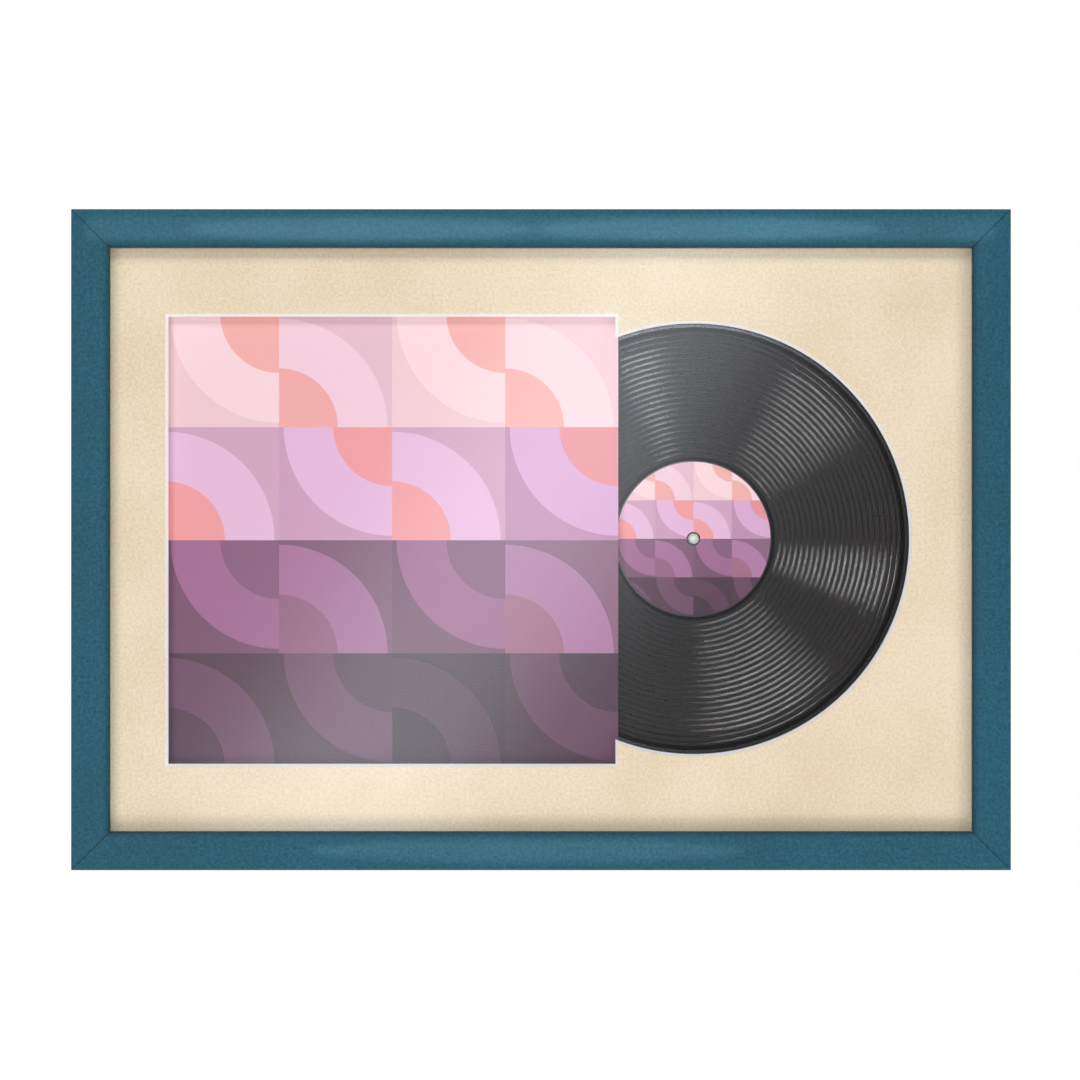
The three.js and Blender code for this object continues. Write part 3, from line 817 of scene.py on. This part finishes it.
acrylic = bpy.data.materials.new("coated_clear_acrylic")
acrylic.use_nodes = True
tree = acrylic.node_tree
tree.nodes.clear()
slant = add(tree, "LayerWeight", {"Blend": 0.5})
steep = work_out(tree, "POWER", slant.outputs["Facing"], 5)
mirror_share = work_out(tree, "MULTIPLY_ADD", steep, 0.9, 0.006)
see = add(tree, "BsdfTransparent", {"Color": tint("fefefe")})
mirror = add(tree, "BsdfGlossy", {"Roughness": 0.11})
pane = add(tree, "MixShader", {"Fac": mirror_share, 1: see, 2: mirror})
add(tree, "OutputMaterial", {"Surface": pane})
dress(acrylic, "glazing_sheet")
print("the clear sheet has", acrylic.name)

# %% Boards behind the window
spacer_finish = mat_paper("white_foam_board", "f4f2ee", "e8e5df", foam_speck)
mount_finish = mat_paper("white_mount_board", "fffefb", "faf7f2")
dress(spacer_finish, "mat_spacer", "sleeve_spacer", "sleeve_carrier", "record_spacer")
dress(mount_finish, "mount_board")
print("five boards have", spacer_finish.name, "or", mount_finish.name)

# %% [markdown]
# ## Fibreboard
#
# The backing is hardboard of 3 mm, wood fibre pressed hot: brown, matte, with short pale and
# dark fibres lying every way and a little sheen where the press was smooth.

# %% Hardboard backing
fibre_width = 1.1 * MM
flake_size = 1.6 * MM
board_cloud = 80 * MM
press_relief = 0.15 * MM
hardboard, tree, shader, coords = finish("brown_hardboard")
lengthwise = add(tree, "Mapping", {"Vector": coords, "Scale": (0.25, 1, 1)})
upright = add(tree, "Mapping", {"Vector": coords, "Scale": (1, 1, 0.25)})
lying, standing = (noise(tree, way, fibre_width, 3, Distortion=1) for way in (lengthwise, upright))
fibres = remap(tree, work_out(tree, "ADD", lying, standing), 0.6, 1.4)
flakes = add(tree, "TexVoronoi", {"Vector": coords, "Scale": 1 / flake_size, "Randomness": 1})
cloud = noise(tree, coords, board_cloud, 4)
shade = mix(tree, fibres, tint("6d5036"), tint("9c7a55"))
flecked = mix(tree, 0.25, shade, flakes, "OVERLAY")
broad = mix(tree, 0.3, flecked, cloud, "OVERLAY")
press = bump(tree, fibres, 0.3, press_relief)
fill(shader, {"Base Color": broad, "Roughness": 0.68, "Normal": press})
dress(hardboard, "backing_board")
print("the backing board has", hardboard.name)

# %% [markdown]
# ## Zinc-plated steel
#
# The hardware is mild steel with a bright zinc plate. It looks silvery and a little blue, with
# cloudy patches from the bath and short rolling marks, and it is neither mirror nor matte.

# %% Zinc and rubber
bath_patch = 3.8 * MM
rolling_mark = 0.55 * MM
rubber_pore = 0.45 * MM


def zinc(name, colour, dull):
    """Zinc plate. Dull is the roughness that its clouds swing about."""
    made, tree, shader, coords = finish(name)
    patches = noise(tree, coords, bath_patch, 3)
    marks = noise(tree, coords, rolling_mark, 2)
    shade = mix(tree, patches, tint(colour), tint("dfe3e6"))
    gloss = remap(tree, patches, 0, 1, dull - 0.1, dull + 0.12)
    wear = bump(tree, marks, 0.06, fine_relief)
    fill(shader, {"Base Color": shade, "Roughness": gloss, "Metallic": 1, "Normal": wear})
    return made


plate_zinc = zinc("zinc_plated_sheet", "b4b8bb", 0.32)
wire_zinc = zinc("zinc_plated_wire", "bcc0c4", 0.26)
screw_zinc = zinc("zinc_plated_screw", "b9bdc0", 0.28)
nail_steel = zinc("bright_nail_steel", "9da2a6", 0.4)
dress(nail_steel, *(name for name in frame["nodes"] if name.startswith("corner_nail_")))

rubber, tree, shader, coords = finish("black_moulded_rubber")
pores = noise(tree, coords, rubber_pore, 2)
shade = mix(tree, pores, tint("1d1e20"), tint("2b2c2f"))
skin = bump(tree, pores, 0.2, fine_relief)
fill(shader, {"Base Color": shade, "Roughness": 0.75, "Normal": skin})
print("zinc for plate, wire and screws, steel for nails, and", rubber.name)

# %% [markdown]
# ## Turn buttons
#
# A turn button is a stamped steel plate shaped like a long drop. Its outline is the line round
# two circles, so two discs of the sheet's thickness are laid down, and the convex hull operator
# stretches a skin round both. Its rim is rounded as stamping leaves it, more on the outer side
# than on the side towards the wood, and the hole is drilled.

# %% One button at the origin, then eight copies
button_radius = 5.5 * MM
tip_radius = 3.6 * MM
button_sheet = 1.2 * MM
button_gap = 0.3 * MM
button_grip = 13 * MM
button_reach = land / 2 + button_grip - tip_radius
button_edge = 0.3 * MM
button_edge_under = 0.15 * MM
hole_radius = 1.9 * MM


def rod(name, radius, low, high, at=(0, 0), sides=48):
    """A round bar along Y from low to high, at X and Z."""
    bpy.ops.mesh.primitive_cylinder_add(
        vertices=sides, radius=radius, depth=high - low,
        rotation=(math.pi / 2, 0, 0), location=(at[0], (low + high) / 2, at[1]))
    return named(name)


button_round = rod("stamped_button", button_radius, 0, button_sheet, sides=64)
button_tip = rod("button_tip", tip_radius, 0, button_sheet, (0, -button_reach), 64)
button = join(button_tip, button_round)
edit(button, "VERT")
bpy.ops.mesh.select_all(action="SELECT")
bpy.ops.mesh.convex_hull()
bpy.ops.mesh.dissolve_limited(angle_limit=math.radians(1))
bpy.ops.mesh.select_mode(type="EDGE")
pick_edges(lambda at: near(at.y, button_sheet))
bpy.ops.mesh.bevel(offset=button_edge, segments=3, profile=0.5)
pick_edges(lambda at: near(at.y, 0))
bpy.ops.mesh.bevel(offset=button_edge_under, segments=2, profile=0.5)
leave_edit()
carve(button, rod("drill", hole_radius, -overrun, overrun))
smooth(button)
print("a turn button has", len(button.data.polygons), "faces")

# %% [markdown]
# ## Screws
#
# A pan head screw: it is spun from its half section, and a cross recess is cut into the head
# with two thin tapering blades. The shank runs into the wood, so its thread, which nobody sees,
# is left out.

# %% One screw at the origin, with its head's seat at Y zero
shank_radius = 1.6 * MM
head_radius = 3.2 * MM
head_edge = 0.7 * MM
head_dome = 1.2 * MM
head_ease = 0.1 * MM
head_steps = 9
shank_length = 9 * MM
screw_length = 11 * MM
point_radius = 0.02 * MM
recess_half = 1.9 * MM
recess_wall = 0.35 * MM
recess_top = 3 * MM
recess_taper = (0.45, 1, 0.7)
head_section = [(point_radius, -screw_length), (shank_radius, -shank_length), (shank_radius, 0),
                (head_radius - head_ease, 0), (head_radius, head_ease), (head_radius, head_edge)]
for step in range(1, head_steps):
    turn = step / head_steps * math.pi / 2
    head_section.append((head_radius * math.cos(turn), head_edge + head_dome * math.sin(turn)))
head_section.append((point_radius, head_edge + head_dome))
screw = turned_piece("pan_head_screw", head_section, Vector((0, 0, 0)), 48)
for turn in (0, math.pi / 2):
    blade = block("blade", (-recess_half, head_edge, -recess_wall), (recess_half, recess_top, recess_wall))
    edit(blade)
    pick_faces(lambda at, normal: normal.y < -0.9)
    bpy.ops.transform.resize(value=recess_taper)
    bpy.ops.mesh.select_all(action="SELECT")
    bpy.ops.transform.rotate(value=turn, orient_axis="Y", center_override=(0, 0, 0))
    leave_edit()
    carve(screw, blade)
smooth(screw)
print("a screw has", len(screw.data.polygons), "faces")

# %% Putting buttons and screws where their solids are
# Each screw stops at an angle of its own, as a driver leaves it.
quarter_turns = {"top": 0, "right": 1, "bottom": 2, "left": 3}
first_stop = 0.7
stop_change = 1.9
for joint in frame["joints"]:
    if joint["child"].startswith("button_"):
        place = joint["child"].removeprefix("button_")
        side = place.split("_")[0]
        at = Matrix.Translation(Vector(joint["pos_m"]) * Vector((1, 0, 1)))
        spun = at @ Matrix.Rotation(quarter_turns[side] * math.pi / 2, 4, "Y")
        lifted = Matrix.Translation((0, button_gap, 0))
        made = twin(button, "stamped_button_" + place, spun @ lifted)
        fit(made, plate_zinc, "button_steel", "turn_button_" + place, body=joint["child"])
        seated = Matrix.Translation((0, 2 * button_gap + button_sheet, 0))
        driven = Matrix.Rotation(first_stop + stop_change * len(place), 4, "Y")
        made = twin(screw, "pan_head_screw_" + place, spun @ seated @ driven)
        fit(made, screw_zinc, "screw_steel", "button_screw_" + place)
bpy.data.objects.remove(button)
print("turn buttons for", ", ".join(quarter_turns))

# %% [markdown]
# ## D-ring hangers
#
# The strap is one strip of sheet steel, folded over the ring's bar and back onto itself, with
# two screws through both layers. The strip's middle line is drawn by extruding an edge along
# the fold, and the Solidify modifier gives it its thickness. Its far end is rounded by keeping
# only what lies inside a round-ended block. The ring is bent wire: a curve with a round section.

# %% Sizes of a hanger
strap_width = 11 * MM
strap_sheet = 1 * MM
wire_radius = 1.2 * MM
eye_room = 0.3 * MM
eye_radius = wire_radius + eye_room
eye_outer = eye_radius + strap_sheet
strap_fold = 6 * MM
strap_length = 38.9 * MM
strap_holes = (22.4 * MM, 33.4 * MM)
ring_drop = 17 * MM
ring_corner = 3 * MM
bar_room = 0.9 * MM
ring_bar = strap_width / 2 + bar_room
fold_steps = 24
bow_steps = 48
corner_steps = 8
strap_edge = 0.15 * MM
sheet_share = 0.98
print(f"a strap is {strap_length / MM:.1f} mm long and its ring hangs {ring_drop / MM:.0f} mm down")


# %% Folding a strap
def fold_line():
    """The middle of the sheet, as Y and Z from the bar's middle: up the wall side, round, down."""
    mid = eye_radius + strap_sheet / 2
    meet_y = 1.5 * strap_sheet - eye_outer
    reach = math.hypot(meet_y, strap_fold)
    leave = math.atan2(-strap_fold, meet_y) + math.acos(mid / reach)
    points = [(-mid, -strap_length), (-mid, -strap_fold)]
    for step in range(fold_steps + 1):
        turn = math.pi + (leave - math.pi) * step / fold_steps
        points.append((mid * math.cos(turn), mid * math.sin(turn)))
    points += [(meet_y, -strap_fold), (meet_y, -strap_length)]
    return points


line = fold_line()
bpy.ops.mesh.primitive_plane_add(size=strap_width, location=(0, line[0][0], line[0][1]))
strap = named("folded_strap")
edit(strap, "VERT")
pick_edges(lambda at: at.y > line[0][0])
bpy.ops.mesh.delete(type="VERT")
bpy.ops.mesh.select_all(action="SELECT")
strap_start = next(iter(bmesh.from_edit_mesh(strap.data).verts)).co.y
bpy.ops.transform.translate(value=(0, line[0][0] - strap_start, 0))
bpy.ops.mesh.select_mode(type="EDGE")
bpy.ops.mesh.select_all(action="SELECT")
for (y0, z0), (y1, z1) in zip(line, line[1:]):
    bpy.ops.mesh.extrude_region_move(TRANSFORM_OT_translate={"value": (0, y1 - y0, z1 - z0)})
bpy.ops.mesh.select_all(action="SELECT")
bpy.ops.mesh.normals_make_consistent(inside=False)
leave_edit()
select_only(strap)
sheet = strap.modifiers.new("Sheet", "SOLIDIFY")
sheet.thickness = strap_sheet * sheet_share
sheet.offset = 0
bpy.ops.object.modifier_apply(modifier=sheet.name)
close_up(strap)
print("the folded strip has", len(strap.data.polygons), "faces")

# %% Rounding its end and drilling it
end_z = strap_width / 2 - strap_length
plan = rod("plan_end", strap_width / 2, -overrun, 2 * overrun, (0, end_z), 64)
body = block("plan_body", (-strap_width / 2, -overrun, end_z), (strap_width / 2, 2 * overrun, overrun))
carve(body, plan, "UNION")
carve(strap, body, "INTERSECT")
for drop in strap_holes:
    carve(strap, rod("drill", hole_radius, -overrun, 2 * overrun, (0, -drop)))
softened = strap.modifiers.new("Edges", "BEVEL")
softened.width = strap_edge
softened.segments = 2
softened.limit_method = "ANGLE"
softened.angle_limit = math.radians(50)
select_only(strap)
bpy.ops.object.modifier_apply(modifier=softened.name)
smooth(strap, 40)
print("a strap has", len(strap.data.polygons), "faces")


# %% Bending a ring
def ring_path():
    """Points along the wire's middle, from the middle of its bar round the bow and back."""
    corner = [(ring_bar, 0)]
    for step in range(1, corner_steps + 1):
        turn = math.pi / 2 * (1 - step / corner_steps)
        corner.append((ring_bar + ring_corner * math.cos(turn), ring_corner * (math.sin(turn) - 1)))
    points = [(0, 0)] + corner
    for step in range(1, bow_steps):
        turn = -math.pi * step / bow_steps
        points.append(((ring_bar + ring_corner) * math.cos(turn),
                       (ring_drop - ring_corner) * math.sin(turn) - ring_corner))
    points += [(-x, z) for x, z in reversed(corner)]
    return points


bpy.ops.curve.primitive_nurbs_path_add(radius=1)
wire = bpy.context.object
wire.data.splines.clear()
path = ring_path()
bend = wire.data.splines.new("POLY")
bend.points.add(len(path) - 1)
for point, (x, z) in zip(bend.points, path):
    point.co = (x, 0, z, 1)
bend.use_cyclic_u = True
wire.data.bevel_depth = wire_radius
wire.data.bevel_resolution = 5
select_only(wire)
bpy.ops.object.convert(target="MESH")
ring = named("bent_ring")
close_up(ring)
smooth(ring, 60)
print("a ring has", len(ring.data.polygons), "faces")

# %% Hanging the two hangers
# A hanging ring leans back over its strap. Its screws stop at angles that differ by their place.
strap_back = 2 * strap_sheet + button_gap - eye_outer
ring_tilt = math.asin((strap_back + wire_radius) / ring_drop)
hanger_stop = 0.4
stop_per_metre = 90
for joint in frame["joints"]:
    if joint["child"].startswith("ring_"):
        side = joint["child"].removeprefix("ring_")
        at = Matrix.Translation(joint["pos_m"])
        made = twin(strap, "folded_strap_" + side, at)
        fit(made, plate_zinc, "hanger_steel", "hanger_strap_" + side)
        made = twin(ring, "bent_ring_" + side, at @ Matrix.Rotation(ring_tilt, 4, "X"))
        fit(made, wire_zinc, "hanger_steel", "hanger_ring_" + side, body=joint["child"])
        for drop, name in zip(strap_holes, ("upper", "lower")):
            driven = Matrix.Rotation(hanger_stop + drop * stop_per_metre + len(side), 4, "Y")
            made = twin(screw, f"pan_head_screw_{side}_{name}_hanger",
                        at @ Matrix.Translation((0, strap_back, -drop)) @ driven)
            fit(made, screw_zinc, "screw_steel", f"hanger_screw_{side}_{name}")
for pattern in (strap, ring, screw):
    bpy.data.objects.remove(pattern)
print(f"a hanging ring leans {math.degrees(ring_tilt):.1f} degrees")

# %% [markdown]
# ## Wall bumpers
#
# Two moulded rubber pads keep the frame's lower corners off the wall. A short cylinder gets a
# rounded edge from a bevel, and a shallow dish in its back from an inset, as the mould leaves.

# %% Moulding the bumpers
pad_round = 1.6 * MM
dish_margin = 0.9 * MM
dish_slope = 0.3 * MM
dish_depth = 0.15 * MM
for side in ("left", "right"):
    low, high = (Vector(corner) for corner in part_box("wall_bumper_" + side))
    centre = (low + high) / 2
    radius = (high.x - low.x) / 2
    pad = rod("moulded_pad_" + side, radius, low.y, high.y, (centre.x, centre.z), 64)
    edit(pad, "EDGE")
    pick_edges(lambda at: near(at.y, high.y))
    bpy.ops.mesh.bevel(offset=pad_round, segments=6, profile=0.5)
    bpy.ops.mesh.select_mode(type="FACE")
    pick_faces(lambda at, normal: near(at.y, high.y) and normal.y > 0.99)
    bpy.ops.mesh.inset(thickness=dish_margin)
    bpy.ops.mesh.inset(thickness=dish_slope)
    bpy.ops.transform.translate(value=(0, -dish_depth, 0))
    leave_edit()
    smooth(pad)
    fit(pad, rubber, "bumper_rubber", "wall_bumper_" + side)
    print("the", side, "pad has", len(pad.data.polygons), "faces")

# %% [markdown]
# ## Floor, light and camera
#
# The frame hangs in front of nothing, in a white studio. A plain pale floor lies well below it
# and glows a little, as a light table does, so that it stays pale where no lamp reaches. The
# world looks white to the eye, and in reflections and through glass, but lights the object only
# mildly. The lamps are soft strips in a wide circle round the record's axis: the sloping walls
# of its rings mirror them, so the rings shine in sectors. One slanting window strip shows in the
# clear sheet, small lamps with grids brighten the middle of the long rails, and one soft lamp
# stands behind the frame.

# %% Floor
floor_side = 7
floor_drop = 5.5
floor_speckle = 25 * MM
bpy.ops.mesh.primitive_plane_add(size=floor_side, location=(0, 0, -floor_drop))
floor = named("studio_floor")
floor_finish, tree, shader, coords = finish("pale_studio_floor")
shade = mix(tree, noise(tree, coords, floor_speckle, 3), tint("f1f0ee"), tint("f7f6f4"))
fill(shader, {"Base Color": shade, "Emission Color": shade, "Emission Strength": 0.8,
              "Roughness": 0.9})
floor_finish.cycles.emission_sampling = "NONE"
floor.data.materials.append(floor_finish)
print("the floor lies", floor_drop, "m below the frame's top")

# %% World
world = bpy.data.worlds.new("white_studio")
world.use_nodes = True
bpy.context.scene.world = world
tree = world.node_tree
tree.nodes.clear()
rays = add(tree, "LightPath").outputs
seen = work_out(tree, "MAXIMUM", rays["Is Camera Ray"], rays["Is Glossy Ray"])
shown = work_out(tree, "MAXIMUM", seen, rays["Is Transmission Ray"])
fill_light = add(tree, "Background", {"Color": tint("ffffff"), "Strength": 0.14})
white = add(tree, "Background", {"Color": tint("ffffff"), "Strength": 1})
both = add(tree, "MixShader", {"Fac": shown, 1: fill_light, 2: white})
add(tree, "OutputWorld", {"Surface": both})
print("the frame hangs in a", world.name)


# %% A soft lamp
front = middle - Vector((0, frame_depth, 0))


def soft_lamp(name, at, width, height, watts, aim=front, lean=0, spread=180):
    """A rectangular soft lamp that looks at a point. Its long side leans by some degrees."""
    bpy.ops.object.light_add(type="AREA", location=at)
    lamp = bpy.context.object
    lamp.name = name
    lamp.data.shape = "RECTANGLE"
    lamp.data.size = width
    lamp.data.size_y = height
    lamp.data.energy = watts
    lamp.data.spread = math.radians(spread)
    look = (Vector(aim) - Vector(at)).to_track_quat("-Z", "Y").to_matrix().to_4x4()
    lamp.matrix_world = Matrix.Translation(at) @ look @ Matrix.Rotation(math.radians(lean), 4, "Z")
    lamp.visible_camera = False
    return lamp


# %% Strips round the record
strip_distance = 2.2
strip_width = 0.1


def strip_round_record(name, clock, length, watts, polar):
    """A thin strip lamp seen from the record at an angle off its axis, polar. Clock is its
    direction round the record, in degrees from the right, against the clock's hands."""
    out = Vector((math.cos(math.radians(clock)), 0, math.sin(math.radians(clock))))
    off = math.radians(polar)
    at = disc_middle + strip_distance * (math.sin(off) * out - math.cos(off) * Vector((0, 1, 0)))
    lamp = soft_lamp(name, at, length, strip_width, watts, aim=disc_middle)
    lamp.data.shape = "ELLIPSE"
    along = Vector((-out.z, 0, out.x))
    look = (disc_middle - at).normalized()
    turn = Matrix((along, -look.cross(along), -look)).transposed().to_4x4()
    lamp.matrix_world = Matrix.Translation(at) @ turn
    return lamp


# The ring walls that face a strip mirror it at about polar 54, and those beyond the spindle
# mirror it at about 46. A row gives a strip's clock, length, watts and polar.
for name, *settings in (
    ("upper_right_strip", 46.5, 0.95, 6.5, 54.6),
    ("lower_left_strip", 226.5, 0.95, 7, 45.5),
    ("right_strip", -13, 0.52, 4.5, 54.8),
    ("left_strip", 167, 0.52, 5, 45),
    ("lower_right_strip", -67, 1.9, 15, 54.2),
    ("upper_left_strip", 113, 1.3, 8.5, 45.6),
    ("top_strip", 106, 0.45, 5, 53.2),
    ("bottom_strip", -74, 0.45, 2.5, 46),
):
    strip_round_record(name, *settings)
    print(name, "at clock", settings[0])

# %% Window strip, grids and back lamp
window_at = (0, -5.5, middle.z + 0.1)
window = soft_lamp("window_strip", window_at, width=0.32, height=2.4, watts=43, lean=-32)
window.data.color = (0.86, 0.93, 1)
grid_distance = 0.06
grid_width = 0.016
grid_spread = 10
top_middle = top_high.z - rail_width / 2
bottom_middle = bottom_low.z + rail_width / 2
for name, shape, x, z, length, watts in (
    ("top_grid", "RECTANGLE", 0, top_middle, 0.63, 0.0075),
    ("top_grid_left", "ELLIPSE", -0.125, top_middle, 0.24, 0.0033),
    ("top_grid_right", "ELLIPSE", 0.115, top_middle, 0.24, 0.0036),
    ("bottom_grid", "ELLIPSE", -0.01, bottom_middle, 0.3, 0.0036),
):
    lit = Vector((x, -frame_depth, z))
    at = lit - Vector((0, grid_distance, 0))
    grid = soft_lamp(name, at, length, grid_width, watts, aim=lit, spread=grid_spread)
    grid.data.shape = shape
print("the rails' grids stand", grid_distance, "m off the frame")
soft_lamp("back_softbox", (0.4, 1.8, 0.8), width=1.4, height=0.9, watts=22)

# %% Camera
# The photograph looks straight at the frame from far away: 748 mm fill its width.
photo_pixels = 1080
pixels_per_mm = 1.444
left_of_middle = 0.69 * MM
under_middle = 0.24 * MM
bpy.ops.object.camera_add(rotation=(math.pi / 2, 0, 0))
camera = bpy.context.object
camera.name = "studio_camera"
camera.data.lens = 200
camera.data.sensor_width = 36
seen_width = photo_pixels / pixels_per_mm * MM
distance = seen_width * camera.data.lens / camera.data.sensor_width
camera.location = (-left_of_middle, -frame_depth - distance, middle.z - under_middle)
camera.data.clip_end = 100
bpy.context.scene.camera = camera
bpy.context.scene.view_settings.view_transform = "Standard"
print(f"the camera stands {distance:.2f} m in front of the frame")
